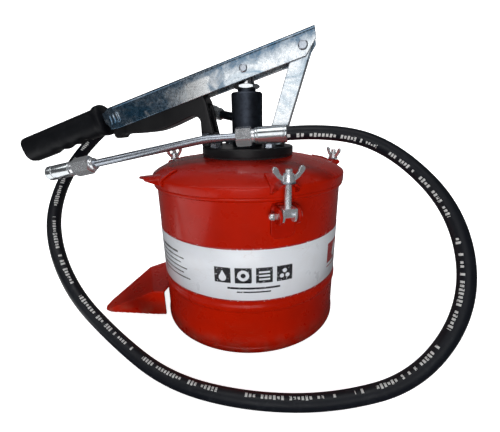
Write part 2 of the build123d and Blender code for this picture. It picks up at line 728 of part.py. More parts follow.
# ---------------------------------------------------------------- outlet
with BuildPart() as outlet_nipple:
    with BuildSketch(along(OUTLET_START, OUTLET_DIR, 13.5)):
        Circle(4.6)
        Circle(1.8, mode=Mode.SUBTRACT)
    extrude(amount=24.5)
export(outlet_nipple.part, "outlet_nipple")

with BuildPart() as outlet_swivel_nut:
    with BuildSketch(along(OUTLET_START, OUTLET_DIR, 38)):
        RegularPolygon(6.0, 6, major_radius=False)
        Circle(1.8, mode=Mode.SUBTRACT)
    extrude(amount=9)
export(outlet_swivel_nut.part, "outlet_swivel_nut")

with BuildPart() as outlet_ferrule:
    with BuildSketch(along(OUTLET_START, OUTLET_DIR, 47)):
        Circle(8.5)
    extrude(amount=OUTLET_LENGTH - 47)
    chamfer(outlet_ferrule.edges().filter_by(GeomType.CIRCLE), 0.8)
    with BuildSketch(along(OUTLET_START, OUTLET_DIR, 46)):
        Circle(1.8)
    extrude(amount=40, mode=Mode.SUBTRACT)
export(outlet_ferrule.part, "outlet_ferrule")

# ---------------------------------------------------------------- hose
hose_points = [Vector(*DELIVERY_START), point_along(DELIVERY_START, DELIVERY_DIR, -HOSE_FIRST_RUN)]
hose_points += [Vector(*p) for p in HOSE_ROUTE]
hose_points += [point_along(OUTLET_START, OUTLET_DIR, OUTLET_LENGTH + HOSE_LAST_RUN)]
hose_points += [point_along(OUTLET_START, OUTLET_DIR, OUTLET_LENGTH)]
hose_radii = []
for before, here, after in zip(hose_points, hose_points[1:], hose_points[2:]):
    first = here - before
    second = after - here
    half_turn = acos(first.normalized().dot(second.normalized())) / 2
    hose_radii.append(0.45 * min(first.length, second.length) / tan(half_turn))
print("hose bend radii", [round(r) for r in hose_radii])
with BuildPart() as hose:
    with BuildLine() as hose_line:
        FilletPolyline(*hose_points, radius=hose_radii)
    with BuildSketch(Plane(origin=hose_line.line @ 0, z_dir=hose_line.line % 0)):
        Circle(HOSE_R)
    sweep(path=hose_line.line)
print("hose volume over section", round(hose.part.volume / (3.14159 * HOSE_R**2), 1),
      "path", round(hose_line.wires()[0].length, 1))
export(hose.part, "hose")

# ---------------------------------------------------------------- delivery end
with BuildPart() as delivery_ferrule:
    with BuildSketch(along(DELIVERY_START, DELIVERY_DIR, 0)):
        Circle(8.5)
    extrude(amount=31)
    chamfer(delivery_ferrule.edges().filter_by(GeomType.CIRCLE), 0.8)
    with BuildSketch(along(DELIVERY_START, DELIVERY_DIR, -1)):
        Circle(2)
    extrude(amount=40, mode=Mode.SUBTRACT)
export(delivery_ferrule.part, "delivery_ferrule")

with BuildPart() as delivery_nipple:
    with BuildSketch(along(DELIVERY_START, DELIVERY_DIR, 31)):
        Circle(6.5)
    extrude(amount=4)
    with BuildSketch(along(DELIVERY_START, DELIVERY_DIR, 34)):
        RegularPolygon(8.5, 6, major_radius=False)
    extrude(amount=15)
    with BuildSketch(along(DELIVERY_START, DELIVERY_DIR, 30)):
        Circle(2)
    extrude(amount=30, mode=Mode.SUBTRACT)
export(delivery_nipple.part, "delivery_nipple")

pipe_start = point_along(DELIVERY_START, DELIVERY_DIR, 49)
pipe_corner = point_along(DELIVERY_START, DELIVERY_DIR, PIPE_BEND_AT)
pipe_end = point_along(pipe_corner, PIPE_DIR, COUPLER_AT)
with BuildPart() as delivery_pipe:
    with BuildLine() as pipe_line:
        FilletPolyline(pipe_start, pipe_corner, pipe_end, radius=120)
    with BuildSketch(Plane(origin=pipe_line.line @ 0, z_dir=pipe_line.line % 0)):
        Circle(PIPE_R)
        Circle(2, mode=Mode.SUBTRACT)
    sweep(path=pipe_line.line)
export(delivery_pipe.part, "delivery_pipe")

with BuildPart() as coupler_nut:
    with BuildSketch(along(pipe_corner, PIPE_DIR, COUPLER_AT)):
        Circle(6.5)
    extrude(amount=5)
    with BuildSketch(along(pipe_corner, PIPE_DIR, COUPLER_AT + 4)):
        RegularPolygon(8.5, 6, major_radius=False)
    extrude(amount=19)
    with BuildSketch(along(pipe_corner, PIPE_DIR, COUPLER_AT + 23)):
        Circle(7.2)
    extrude(amount=4)
    with BuildSketch(along(pipe_corner, PIPE_DIR, COUPLER_AT - 1)):
        Circle(2)
    extrude(amount=40, mode=Mode.SUBTRACT)
export(coupler_nut.part, "coupler_nut")

# sleeve that closes four hardened jaws around a grease nipple
SLEEVE_AT = COUPLER_AT + 27
SLEEVE_L = 29.0
with BuildPart() as coupler_sleeve:
    with BuildSketch(along(pipe_corner, PIPE_DIR, SLEEVE_AT)):
        Circle(7.75)
    extrude(amount=SLEEVE_L)
    chamfer(coupler_sleeve.edges().filter_by(GeomType.CIRCLE), 1.0)
    with BuildSketch(along(pipe_corner, PIPE_DIR, SLEEVE_AT + 12)):
        Circle(5.6)
    extrude(amount=30, mode=Mode.SUBTRACT)
    with BuildSketch(along(pipe_corner, PIPE_DIR, SLEEVE_AT - 1)):
        Circle(2)
    extrude(amount=30, mode=Mode.SUBTRACT)
export(coupler_sleeve.part, "coupler_sleeve")

with BuildPart() as coupler_jaws:
    with BuildSketch(along(pipe_corner, PIPE_DIR, SLEEVE_AT + 12)):
        Circle(5.6)
        Circle(3.3, mode=Mode.SUBTRACT)
        Rectangle(12, 1.2, mode=Mode.SUBTRACT)
        Rectangle(1.2, 12, mode=Mode.SUBTRACT)
    extrude(amount=SLEEVE_L - 12.6)
export(coupler_jaws.part, "coupler_jaws")
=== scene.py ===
from math import cos, pi, radians, sin, sqrt, tan

import bpy
import bmesh
from mathutils import Matrix, Vector


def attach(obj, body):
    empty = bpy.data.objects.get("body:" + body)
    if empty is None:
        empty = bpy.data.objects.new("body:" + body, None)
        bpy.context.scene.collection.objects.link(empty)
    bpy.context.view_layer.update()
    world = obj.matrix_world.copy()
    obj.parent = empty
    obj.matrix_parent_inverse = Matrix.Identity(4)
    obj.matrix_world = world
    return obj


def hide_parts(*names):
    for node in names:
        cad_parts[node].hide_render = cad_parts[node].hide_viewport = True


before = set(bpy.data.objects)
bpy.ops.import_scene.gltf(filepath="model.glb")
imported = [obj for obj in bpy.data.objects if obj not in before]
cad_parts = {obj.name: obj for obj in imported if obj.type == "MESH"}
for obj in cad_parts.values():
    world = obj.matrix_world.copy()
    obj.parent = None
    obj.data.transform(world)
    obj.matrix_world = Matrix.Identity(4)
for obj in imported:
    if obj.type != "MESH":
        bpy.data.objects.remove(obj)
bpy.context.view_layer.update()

MM = 0.001

# ------------------------------------------------------------------ shared dimensions, in mm
TURN = radians(12)  # how far round the camera stands from square on to the mechanism
CLAMP_ANGLES = (-61.5, 30.5, 161.0)  # degrees round the bucket
CLAMP_RADIUS = 111.0
CLAMP_PIVOT_Z = 143.7
FLANGE_SCREW_XY = 27.9
LEVER_PIN = (57, 283)
ROD_PIN = (0, 266)
LINK_PIN = (33, 200)
ROD_EYE = (-2.0, 266.4)
LEVER_SLOPE = 0.2967  # rise over run of the lever at rest
GRIP_TILT = radians(17.1)
HOSE_R = 6.7
PIPE_R = 4.0
PIPE_BEND_R = 120.0
# Each line of fittings: where it starts and which way it points.
OUTLET = (Vector((0.0, 0.0, 217.3)), Vector((-0.8775, 0.4471, 0.1736)).normalized())
DELIVERY = (Vector((46.0, -35.0, 205.0)), Vector((-0.9938, -0.0935, -0.0601)).normalized())
PIPE_CORNER = DELIVERY[0] + DELIVERY[1] * 80.0
PIPE_DIR = Vector((-0.9772, -0.0842, -0.1947)).normalized()
COUPLER = (PIPE_CORNER + PIPE_DIR * 122.5, PIPE_DIR)


# ------------------------------------------------------------------ shader helpers
class Shader:
    """A Principled material built node by node; coordinates are the part's own, in metres."""

    def __init__(self, name):
        self.mat = bpy.data.materials.new(name)
        self.mat.use_nodes = True
        self.tree = self.mat.node_tree
        self.tree.nodes.clear()
        self.out = self.add("ShaderNodeOutputMaterial")
        self.bsdf = self.add("ShaderNodeBsdfPrincipled")
        self.tree.links.new(self.bsdf.outputs[0], self.out.inputs[0])
        self.here = self.add("ShaderNodeTexCoord").outputs["Object"]
        self.normal = None

    def add(self, kind, **settings):
        node = self.tree.nodes.new(kind)
        for key, value in settings.items():
            setattr(node, key, value)
        return node

    def put(self, socket, value):
        if isinstance(value, bpy.types.NodeSocket):
            self.tree.links.new(value, socket)
        elif isinstance(value, (tuple, list)) and len(value) == 3 and socket.type == "RGBA":
            socket.default_value = (*value, 1.0)
        else:
            socket.default_value = value

    def math(self, op, a, b=0.0):
        node = self.add("ShaderNodeMath", operation=op)
        self.put(node.inputs[0], a)
        self.put(node.inputs[1], b)
        return node.outputs[0]

    def times(self, a, b):
        return self.math("MULTIPLY", a, b)

    def plus(self, a, b):
        return self.math("ADD", a, b)

    def minus(self, a, b):
        return self.math("SUBTRACT", a, b)

    def most(self, *values):
        total = values[0]
        for value in values[1:]:
            total = self.math("MAXIMUM", total, value)
        return total

    def above(self, a, b):
        return self.math("GREATER_THAN", a, b)

    def below(self, a, b):
        return self.math("LESS_THAN", a, b)

    def noise(self, scale, detail=3.0, rough=0.55, vector=None, distortion=0.0):
        node = self.add("ShaderNodeTexNoise")
        self.put(node.inputs["Vector"], vector or self.here)
        self.put(node.inputs["Scale"], scale)
        self.put(node.inputs["Detail"], detail)
        self.put(node.inputs["Roughness"], rough)
        self.put(node.inputs["Distortion"], distortion)
        return node.outputs["Fac"]

    def scratches(self, scale, vector, low, high):
        """Thin lines between cells: 0 at a distance low, 1 at high."""
        node = self.add("ShaderNodeTexVoronoi", feature="DISTANCE_TO_EDGE")
        self.put(node.inputs["Vector"], vector)
        self.put(node.inputs["Scale"], scale)
        return self.span(node.outputs["Distance"], low, high)

    def stretch(self, x, y, z, rotation=(0.0, 0.0, 0.0)):
        node = self.add("ShaderNodeMapping")
        self.put(node.inputs["Vector"], self.here)
        node.inputs["Scale"].default_value = (x, y, z)
        node.inputs["Rotation"].default_value = rotation
        return node.outputs[0]

    def span(self, value, low, high, a=0.0, b=1.0):
        node = self.add("ShaderNodeMapRange")
        for socket, number in zip(node.inputs, (value, low, high, a, b)):
            self.put(socket, number)
        return node.outputs[0]

    def mix(self, amount, a, b):
        node = self.add("ShaderNodeMix", data_type="RGBA")
        self.put(node.inputs[0], amount)
        self.put(node.inputs[6], a)
        self.put(node.inputs[7], b)
        return node.outputs[2]

    def xyz(self):
        node = self.add("ShaderNodeSeparateXYZ")
        self.put(node.inputs[0], self.here)
        return node.outputs

    def soft_edges(self, radius):
        """Rounds sharp edges in the shading and returns how close to an edge the point is."""
        bevel = self.add("ShaderNodeBevel", samples=4)
        bevel.inputs["Radius"].default_value = radius
        self.normal = bevel.outputs[0]
        geometry = self.add("ShaderNodeNewGeometry")
        dot = self.add("ShaderNodeVectorMath", operation="DOT_PRODUCT")
        self.put(dot.inputs[0], bevel.outputs[0])
        self.put(dot.inputs[1], geometry.outputs["Normal"])
        return self.span(dot.outputs["Value"], 0.995, 0.9)

    def bump(self, height, depth, strength=1.0):
        """Adds relief: height from 0 to 1 over depth metres."""
        node = self.add("ShaderNodeBump")
        self.put(node.inputs["Height"], height)
        node.inputs["Distance"].default_value = depth
        node.inputs["Strength"].default_value = strength
        if self.normal is not None:
            self.put(node.inputs["Normal"], self.normal)
        self.normal = node.outputs[0]

    def done(self, colour, metallic, rough, coat=0.0, coat_rough=0.1, specular=0.5):
        self.put(self.bsdf.inputs["Base Color"], colour)
        self.put(self.bsdf.inputs["Metallic"], metallic)
        self.put(self.bsdf.inputs["Roughness"], rough)
        self.put(self.bsdf.inputs["Coat Weight"], coat)
        self.put(self.bsdf.inputs["Coat Roughness"], coat_rough)
        self.put(self.bsdf.inputs["Specular IOR Level"], specular)
        if self.normal is not None:
            self.put(self.bsdf.inputs["Normal"], self.normal)
        return self.mat


def enamel(name, colour, dark, rough, wear, orange_peel=0.00003, coat=0.2):
    """Sprayed enamel: slight orange peel, uneven sheen, dulled patches and rubbed edges."""
    s = Shader(name)
    edge = s.soft_edges(0.0006)
    s.bump(s.noise(420.0, 2.0), orange_peel, 0.5)
    s.bump(s.noise(60.0, 2.0), orange_peel * 3, 0.35)
    patch = s.span(s.noise(28.0, 4.0), 0.35, 0.7)
    tint = s.mix(patch, colour, dark)
    chips = s.times(edge, s.span(s.noise(260.0, 3.0), 0.56, 0.64))
    tint = s.mix(s.times(chips, wear), tint, (0.10, 0.085, 0.08))
    sheen = s.plus(s.span(s.noise(75.0, 5.0), 0.3, 0.75, rough - 0.05, rough + 0.10),
                   s.times(chips, 0.3))
    return s.done(tint, 0.0, sheen, coat, 0.06, 0.26)


def bucket_enamel():
    """Red-orange bucket paint with fine scratches low on the wall and dust where it stands."""
    s = Shader("bucket_enamel")
    edge = s.soft_edges(0.0006)
    s.bump(s.noise(420.0, 2.0), 0.00003, 0.4)
    s.bump(s.noise(24.0, 2.0), 0.0003, 0.35)
    z = s.xyz()[2]
    low = s.span(z, 0.055, 0.0)
    lines = s.scratches(46.0, s.stretch(1.0, 1.0, 5.0, (0.3, 0.5, 0.9)), 0.012, 0.002)
    scratch = s.times(lines, s.span(s.noise(38.0, 2.0), 0.52, 0.62))
    scratch = s.times(scratch, s.plus(0.12, s.times(low, 0.85)))
    s.bump(s.minus(1.0, scratch), 0.00008, 0.8)
    tint = s.mix(s.span(s.noise(16.0, 4.0), 0.35, 0.7), (0.47, 0.0100, 0.0005), (0.36, 0.0072, 0.0003))
    tint = s.mix(s.times(scratch, 0.75), tint, (0.33, 0.10, 0.06))
    dust = s.times(s.span(z, 0.02, 0.0, 0.0, 0.35), s.span(s.noise(90.0, 4.0), 0.4, 0.7))
    tint = s.mix(dust, tint, (0.25, 0.14, 0.10))
    chips = s.times(edge, s.span(s.noise(240.0, 3.0), 0.58, 0.66))
    tint = s.mix(s.times(chips, 0.7), tint, (0.12, 0.08, 0.07))
    sheen = s.plus(s.span(s.noise(55.0, 5.0), 0.3, 0.75, 0.24, 0.36), s.times(dust, 0.6))
    return s.done(tint, 0.0, sheen, 0.12, 0.05, 0.26)


def bare_metal(name, colour, rough, spread=0.12, speckle=0.35, tone=(0.42, 0.50, 0.62), brushed=None,
               fine=0.00002, rounding=0.0004, metal=1.0):
    """Plated or machined metal: mottled passivation, tool marks, uneven sheen and dark handling marks."""
    s = Shader(name)
    edge = s.soft_edges(rounding) if rounding else 0.0
    marks = s.noise(420.0, 3.0) if brushed is None else s.noise(1.0, 4.0, vector=s.stretch(*brushed))
    s.bump(marks, fine, 0.5)
    s.bump(s.noise(130.0, 3.0), fine * 4, 0.3)
    mottle = s.times(s.span(s.noise(190.0, 6.0, 0.7), 0.42, 0.62), speckle)
    tint = s.mix(mottle, colour, tone)
    smudge = s.span(s.noise(45.0, 4.0, 0.6, distortion=0.6), 0.55, 0.78, 0.0, 0.4)
    tint = s.mix(smudge, tint, tuple(c * 0.42 for c in colour))
    tint = s.mix(s.times(edge, 0.35), tint, tuple(min(1.0, c * 1.25) for c in colour))
    sheen = s.plus(s.span(marks, 0.3, 0.7, rough - spread / 2, rough + spread),
                   s.times(smudge, 0.3))
    return s.done(tint, metal, sheen)


def moulded(name, colour, rough, grain, depth, worn=(0.05, 0.05, 0.052), specular=0.4):
    """Moulded plastic or rubber: grain, scuffs, slight bloom and polished high spots."""
    s = Shader(name)
    edge = s.soft_edges(0.0006)
    s.bump(s.noise(grain, 4.0), depth, 0.6)
    s.bump(s.noise(40.0, 2.0), depth * 5, 0.25)
    scuff = s.times(s.span(s.noise(150.0, 5.0, 0.7, distortion=0.8), 0.52, 0.68), 0.5)
    tint = s.mix(scuff, colour, worn)
    tint = s.mix(s.times(edge, 0.5), tint, worn)
    sheen = s.span(s.noise(65.0, 5.0), 0.3, 0.7, rough - 0.09, rough + 0.12)
    return s.done(tint, 0.0, sheen, specular=specular)


def zinc_sheet():
    """Bright zinc on folded sheet: blue passivation clouds, fine spangle, rolling marks and rubs."""
    s = Shader("zinc_sheet")
    along = (0.0, 0.29, 0.0)
    edge = s.soft_edges(0.0004)
    spangle = s.noise(420.0, 6.0, 0.75)
    s.bump(spangle, 0.00003, 0.5)
    s.bump(s.noise(9.0, 2.0), 0.0012, 0.4)
    cloud = s.span(s.noise(17.0, 4.0, 0.55, s.stretch(1.0, 1.0, 2.2, along), 0.7), 0.48, 0.64)
    tint = s.mix(cloud, (0.80, 0.84, 0.87), (0.16, 0.29, 0.40))
    tint = s.mix(s.times(s.span(spangle, 0.48, 0.62), 0.3), tint, (0.40, 0.50, 0.60))
    # Painted dark blue reflection along the fold, where the top web faces the dim room; the same dark blue
    # at nose and tail and in one dark patch; one patch is painted near white as a highlight.
    x, _, z = s.xyz()
    ragged = s.span(s.noise(60.0, 8.0, 0.8), 0.38, 0.62, -0.5, 0.5)
    height = s.minus(z, s.times(x, LEVER_SLOPE))
    fold = s.plus(s.span(height, 0.2605, 0.2745), s.times(ragged, 0.5))
    nose = s.plus(s.span(x, -0.050, -0.085, 0.0, 1.0), s.times(ragged, 0.8))
    tail = s.plus(s.span(x, 0.048, 0.078, 0.0, 0.6), s.times(ragged, 0.9))
    torn = s.plus(x, s.times(ragged, 0.006))
    painted_highlight_patch = s.times(s.span(torn, -0.063, -0.060), s.span(torn, -0.035, -0.038))
    painted_highlight_patch = s.times(painted_highlight_patch, s.span(height, 0.272, 0.269))
    dark = s.times(s.span(torn, -0.036, -0.034), s.span(torn, -0.018, -0.022, 0.0, 0.8))
    painted_dark_reflection = s.most(fold, tail, nose, dark)
    painted_dark_reflection = s.minus(s.span(painted_dark_reflection, 0.25, 1.0, 0.0, 0.92), painted_highlight_patch)
    painted_dark_reflection = s.times(s.most(painted_dark_reflection, 0.0), s.above(height, 0.235))
    painted_dark_reflection = s.times(painted_dark_reflection, s.span(spangle, 0.42, 0.60, 1.0, 0.8))
    # Painted dark reflection in deep blue, then the painted near-white highlight patch.
    tint = s.mix(painted_dark_reflection, tint, (0.018, 0.095, 0.185))
    tint = s.mix(s.times(painted_highlight_patch, 0.8), tint, (0.88, 0.90, 0.91))
    pale = s.times(s.span(s.noise(31.0, 3.0, 0.6, distortion=0.4), 0.6, 0.7), 0.7)
    tint = s.mix(pale, tint, (0.88, 0.89, 0.90))
    rub = s.span(s.noise(1.0, 4.0, 0.6, s.stretch(70.0, 70.0, 900.0, along)), 0.62, 0.72, 0.0, 0.5)
    tint = s.mix(rub, tint, (0.30, 0.30, 0.32))
    tint = s.mix(s.times(edge, 0.5), tint, (0.9, 0.91, 0.92))
    sheen = s.plus(s.span(spangle, 0.35, 0.65, 0.14, 0.34), s.times(rub, 0.2))
    return s.done(tint, 0.9, sheen)


RED = bucket_enamel()
RED_SMALL = enamel("red_fittings", (0.42, 0.0080, 0.0006), (0.32, 0.0055, 0.0004), 0.26, 0.8)
BLACK_CAST = enamel("black_casting", (0.006, 0.006, 0.007), (0.011, 0.011, 0.012), 0.34, 0.9, 0.00006, 0.1)
ZINC_SHEET = zinc_sheet()
ZINC = bare_metal("zinc_plate", (0.74, 0.78, 0.80), 0.17, 0.08, 0.15,
                  fine=0.000005, rounding=0, metal=0.93)
ZINC_CAST = bare_metal("zinc_cast", (0.95, 0.97, 1.0), 0.19, 0.08, 0.15,
                       fine=0.000005, rounding=0, metal=0.8)
ZINC_DULL = bare_metal("zinc_dull", (0.50, 0.54, 0.60), 0.24, 0.1, 0.3,
                       fine=0.000007, rounding=0, metal=0.95)
BRIGHT = bare_metal("ground_rod", (0.74, 0.74, 0.75), 0.14, 0.06, 0.1, brushed=(60.0, 60.0, 2600.0))
DARK_STEEL = bare_metal("blued_steel", (0.075, 0.088, 0.115), 0.44, 0.10, 0.4, (0.02, 0.024, 0.036),
                        (60.0, 60.0, 900.0), 0.00001)
STEEL = bare_metal("machined_steel", (0.42, 0.42, 0.43), 0.33, 0.1, 0.3, (0.3, 0.29, 0.28),
                   (50.0, 50.0, 1800.0))
GRIP_BLACK = moulded("grip_plastic", (0.003, 0.0035, 0.005), 0.44, 700.0, 0.00005,
                     (0.012, 0.013, 0.016), 0.2)
RUBBER = moulded("seal_rubber", (0.016, 0.016, 0.017), 0.6, 900.0, 0.00004)


# ------------------------------------------------------------------ mesh helpers
def added(name, data):
    """A new object in the scene."""
    obj = bpy.data.objects.new(name, data)
    bpy.context.scene.collection.objects.link(obj)
    return obj


def shade_smooth(mesh, sharp=None):
    """Smooth shading, with edges kept sharp above an angle in degrees."""
    for polygon in mesh.polygons:
        polygon.use_smooth = True
    if sharp:
        mesh.set_sharp_from_angle(angle=radians(sharp))


def finish_mesh(name, verts, faces, material, body, nodes, bevel=0.0, smooth=32.0):
    """Makes a piece from points in mm, smooths it, and hangs it on its CAD body."""
    mesh = bpy.data.meshes.new(name)
    mesh.from_pydata([Vector(v) * MM for v in verts], [], faces)
    bm = bmesh.new()
    bm.from_mesh(mesh)
    bmesh.ops.remove_doubles(bm, verts=bm.verts, dist=1e-7)
    bmesh.ops.recalc_face_normals(bm, faces=bm.faces)
    bm.to_mesh(mesh)
    bm.free()
    obj = added(name, mesh)
    mesh.materials.append(material)
    shade_smooth(mesh, smooth)
    if bevel:
        rounding = obj.modifiers.new("edges", "BEVEL")
        rounding.width = bevel * MM
        rounding.segments = 3
        rounding.limit_method = "ANGLE"
        rounding.angle_limit = radians(smooth)
        rounding.harden_normals = True
    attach(obj, body)
    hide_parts(*nodes)
    return obj


def tube_faces(rows, around, capped=True):
    """Faces over rows of points that each go once round, with flat ends if capped."""
    faces = []
    for k in range(rows - 1):
        for i in range(around):
            j = (i + 1) % around
            faces.append((k * around + i, k * around + j, (k + 1) * around + j, (k + 1) * around + i))
    if capped:
        faces.append(tuple(range(around)))
        faces.append(tuple((rows - 1) * around + i for i in range(around)))
    return faces


def turned(profile, steps, matrix=None, closed=True):
    """Points and faces of a turned shape from (radius, height) pairs in mm."""
    matrix = matrix or Matrix()
    verts = []
    for i in range(steps):
        a = 2 * pi * i / steps
        verts += [matrix @ Vector((r * cos(a), r * sin(a), z)) for r, z in profile]
    n = len(profile)
    faces = []
    for i in range(steps):
        j = (i + 1) % steps
        for k in range(n if closed else n - 1):
            m = (k + 1) % n
            faces.append((i * n + k, j * n + k, j * n + m, i * n + m))
    return verts, faces


def rounded(points, radius, steps=4, closed=True):
    """A profile with its corners rounded, no more than each side allows."""
    out = []
    count = len(points)
    for i, p in enumerate(points):
        if not closed and i in (0, count - 1):
            out.append(p)
            continue
        p = Vector((*p, 0))
        a = Vector((*points[i - 1], 0)) - p
        b = Vector((*points[(i + 1) % count], 0)) - p
        cut = min(radius, a.length * 0.45, b.length * 0.45)
        start = p + a.normalized() * cut
        end = p + b.normalized() * cut
        for k in range(steps + 1):
            t = k / steps
            q = start * (1 - t) ** 2 + p * 2 * t * (1 - t) + end * t * t
            out.append((q.x, q.y))
    return out


def placed(origin, direction):
    """Matrix that puts a shape's own Z along a direction, in mm."""
    z = Vector(direction).normalized()
    x = Vector((0, 0, 1)).cross(z)
    if x.length < 1e-6:
        x = Vector((1, 0, 0))
    x.normalize()
    y = z.cross(x)
    m = Matrix((x, y, z)).transposed().to_4x4()
    m.translation = Vector(origin)
    return m


def hexagon(flats, low, high, hole=0.0, matrix=None, bottom=True):
    """A hexagon with its corners turned down to arcs, as on a nut or bolt head."""
    matrix = matrix or Matrix()
    steps = 72
    face_r = flats / 2 * 0.955
    slope = tan(radians(32))
    verts = []
    for i in range(steps):
        a = 2 * pi * i / steps
        side = (a + pi / 6) % (pi / 3) - pi / 6
        r = flats / 2 / cos(side)
        drop = max(0.0, (r - face_r) * slope)
        foot = [(face_r, low), (r, low + drop)] if bottom else [(r, low), (r, low)]
        ring = [(hole, low), *foot, (r, high - drop), (face_r, high), (hole, high)]
        verts += [matrix @ Vector((q * cos(a), q * sin(a), z)) for q, z in ring]
    faces = []
    for i in range(steps):
        j = (i + 1) % steps
        for k in range(6 if hole else 5):
            m = (k + 1) % 6
            faces.append((i * 6 + k, j * 6 + k, j * 6 + m, i * 6 + m))
    return verts, faces


def thread(radius, low, high, pitch, matrix):
    """An outside screw thread with a real helix and rounded ends."""
    depth = 0.33
    around = 28
    rows = int((high - low) / pitch * 6) + 1
    verts = []
    for k in range(rows + 1):
        z = low + (high - low) * k / rows
        end = min(1.0, (z - low) / pitch, (high - z) / pitch)
        for i in range(around):
            phase = (z / pitch - i / around) % 1.0
            tooth = abs(phase - 0.5) * 2
            a = 2 * pi * i / around
            r = radius - depth * (1 - tooth) - 0.35 * depth * (1 - end)
            verts.append(matrix @ Vector((r * cos(a), r * sin(a), z)))
    return verts, tube_faces(rows + 1, around)


def joined(*shapes):
    """The points and faces of several shapes as one."""
    verts = []
    faces = []
    for v, f in shapes:
        base = len(verts)
        verts += list(v)
        faces += [tuple(i + base for i in face) for face in f]
    return verts, faces


def cad_copy(node):
    """The points (mm) and faces of a CAD node."""
    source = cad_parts[node]
    matrix = source.matrix_world
    verts = [(matrix @ v.co) / MM for v in source.data.vertices]
    faces = [tuple(p.vertices) for p in source.data.polygons]
    return verts, faces


def cut_off(shape, point, outward):
    """A shape without the side of a plane that outward points to, closed over the cut."""
    mesh = bpy.data.meshes.new("work")
    mesh.from_pydata(shape[0], [], shape[1])
    bm = bmesh.new()
    bm.from_mesh(mesh)
    bpy.data.meshes.remove(mesh)
    bmesh.ops.remove_doubles(bm, verts=bm.verts, dist=1e-4)
    bmesh.ops.bisect_plane(bm, geom=bm.verts[:] + bm.edges[:] + bm.faces[:], plane_co=Vector(point),
                           plane_no=Vector(outward), clear_outer=True)
    bmesh.ops.holes_fill(bm, edges=[e for e in bm.edges if e.is_boundary])
    bm.verts.index_update()
    out = [v.co.copy() for v in bm.verts], [tuple(v.index for v in f.verts) for f in bm.faces]
    bm.free()
    return out


def softened(name, nodes, material, body, voxel=0.6, blur=6, keep=0.3, shape=None, crisp=None):
    """A cast, moulded or pressed piece: the CAD shape with its edges worn round, plus any crisp part."""
    shape = shape or joined(*[cad_copy(n) for n in nodes])
    obj = finish_mesh(name, *shape, material, body, nodes)
    grid = obj.modifiers.new("grid", "REMESH")
    grid.mode = "VOXEL"
    grid.voxel_size = voxel * MM
    relax = obj.modifiers.new("relax", "SMOOTH")
    relax.factor = 0.5
    relax.iterations = blur
    thin = obj.modifiers.new("thin", "DECIMATE")
    thin.ratio = keep
    graph = bpy.context.evaluated_depsgraph_get()
    mesh = bpy.data.meshes.new_from_object(obj.evaluated_get(graph), depsgraph=graph)
    obj.modifiers.clear()
    if crisp:
        part = bpy.data.meshes.new(name + "_crisp")
        part.from_pydata([Vector(v) * MM for v in crisp[0]], [], crisp[1])
        whole = bmesh.new()
        whole.from_mesh(mesh)
        whole.from_mesh(part)
        bmesh.ops.recalc_face_normals(whole, faces=whole.faces)
        whole.to_mesh(mesh)
        whole.free()
        bpy.data.meshes.remove(part)
    obj.data = mesh
    shade_smooth(mesh, 55.0)


def dress(node, material):
    """A CAD node shown as it is, with its own finish."""
    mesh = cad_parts[node].data
    mesh.materials.clear()
    mesh.materials.append(material)
    shade_smooth(mesh, 30)


# ------------------------------------------------------------------ bucket and lid
finish_mesh("bucket_shell", *turned(rounded([
    (0, 0), (101, 0), (101, 4.5), (100, 6), (100, 45.8), (101.2, 48), (101.2, 52), (100, 54.2),
    (100, 153.3), (101.3, 153.4), (102.7, 154.3), (103, 155.6), (102.7, 156.9), (101.6, 157.8),
    (100.4, 158), (98.5, 158), (98.5, 54.4), (99.7, 52.2), (99.7, 47.8), (98.5, 45.6), (98.5, 1.5),
    (0, 1.5)], 0.9, 3, False), 160, closed=False), RED, "pump", ["bucket"], smooth=60)
finish_mesh("lid_pressing", *turned(rounded([
    (20, 181), (52, 181), (70, 178.6), (86, 174.8), (94, 171.6), (99.5, 168.6), (102.9, 166.2), (103.5, 165),
    (103.5, 157.4), (102.7, 157.4), (102.7, 159), (102.1, 159), (102.1, 160.5), (98, 160.5), (98, 167.4),
    (93, 170.2), (85.5, 173.2), (69.6, 176.9), (52, 179.3), (20, 179.3)], 2.6, 4), 160),
    RED, "pump", ["lid"], smooth=60)


